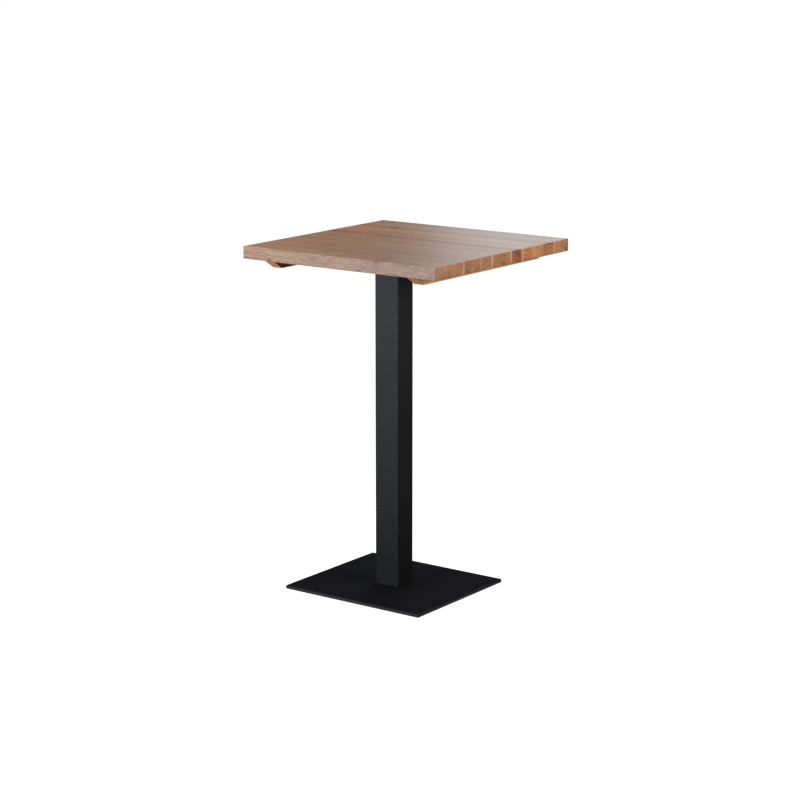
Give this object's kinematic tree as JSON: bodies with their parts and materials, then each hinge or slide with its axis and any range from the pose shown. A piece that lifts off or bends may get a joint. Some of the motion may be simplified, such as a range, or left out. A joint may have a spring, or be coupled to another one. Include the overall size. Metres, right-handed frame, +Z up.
{
  "type": "bistro table",
  "caption": "High square bistro table: thick glued solid wood top on cleats, square black steel column off the middle, flat steel base plate, adjustable feet.",
  "frame": {"origin": "on the floor, under the middle of the tabletop, with the feet screwed right in", "axes": "+Z up; +X along the boards of the top, with the column 50 mm towards -X; +Y across the boards"},
  "size_m": [0.7, 0.7, 1.092],
  "materials": {
    "top_wood": "brushed solid hardwood staves, satin lacquer, with light sapwood bands and small knots",
    "cleat_wood": "planed solid hardwood, satin lacquer",
    "powder_coat": "fine textured matt black powder coat",
    "raw_steel": "sawn and milled plain steel",
    "black_bolt": "blackened socket screws",
    "zinc": "bright zinc plating",
    "black_nylon": "moulded matt nylon"
  },
  "bodies": {
    "table": {"stave_01": "top_wood", "stave_02": "top_wood", "stave_03": "top_wood", "stave_04": "top_wood", "stave_05": "top_wood", "stave_06": "top_wood", "stave_07": "top_wood", "stave_08": "top_wood", "stave_09": "top_wood", "stave_10": "top_wood", "stave_11": "top_wood", "stave_12": "top_wood", "stave_13": "top_wood", "cleat_left": "cleat_wood", "cleat_right": "cleat_wood", "cleat_screws": "zinc", "thread_inserts": "zinc", "top_bolts": "zinc", "top_washers": "zinc", "head_plate": "powder_coat", "head_plate_bolts": "black_bolt", "column_top_block": "raw_steel", "column_tube": "powder_coat", "column_bottom_block": "raw_steel", "base_plate": "powder_coat", "base_bolts": "black_bolt"},
    "pad_front_left": {"foot_pad_front_left": "black_nylon"},
    "stud_front_left": {"foot_stud_front_left": "zinc"},
    "pad_front_right": {"foot_pad_front_right": "black_nylon"},
    "stud_front_right": {"foot_stud_front_right": "zinc"},
    "pad_back_left": {"foot_pad_back_left": "black_nylon"},
    "stud_back_left": {"foot_stud_back_left": "zinc"},
    "pad_back_right": {"foot_pad_back_right": "black_nylon"},
    "stud_back_right": {"foot_stud_back_right": "zinc"}
  },
  "joints": [
    {"name": "lower_front_left", "type": "slide", "parent": "table", "child": "pad_front_left", "axis": [0, 0, -1], "range_m": [0, 0.004]},
    {"name": "unscrew_front_left", "type": "hinge", "parent": "pad_front_left", "child": "stud_front_left", "pos_m": [-0.255, -0.1775, 0.008], "axis": [0, 0, -1], "range_deg": [0, 1153]},
    {"name": "lower_front_right", "type": "slide", "parent": "table", "child": "pad_front_right", "axis": [0, 0, -1], "range_m": [0, 0.004]},
    {"name": "unscrew_front_right", "type": "hinge", "parent": "pad_front_right", "child": "stud_front_right", "pos_m": [0.155, -0.1775, 0.008], "axis": [0, 0, -1], "range_deg": [0, 1153]},
    {"name": "lower_back_left", "type": "slide", "parent": "table", "child": "pad_back_left", "axis": [0, 0, -1], "range_m": [0, 0.004]},
    {"name": "unscrew_back_left", "type": "hinge", "parent": "pad_back_left", "child": "stud_back_left", "pos_m": [-0.255, 0.1775, 0.008], "axis": [0, 0, -1], "range_deg": [0, 1153]},
    {"name": "lower_back_right", "type": "slide", "parent": "table", "child": "pad_back_right", "axis": [0, 0, -1], "range_m": [0, 0.004]},
    {"name": "unscrew_back_right", "type": "hinge", "parent": "pad_back_right", "child": "stud_back_right", "pos_m": [0.155, 0.1775, 0.008], "axis": [0, 0, -1], "range_deg": [0, 1153]}
  ],
  "couplings": [
    {"joint": "unscrew_front_left", "follows": "lower_front_left", "rad_per_m": 5026.5},
    {"joint": "unscrew_front_right", "follows": "lower_front_right", "rad_per_m": 5026.5},
    {"joint": "unscrew_back_left", "follows": "lower_back_left", "rad_per_m": 5026.5},
    {"joint": "unscrew_back_right", "follows": "lower_back_right", "rad_per_m": 5026.5}
  ]
}
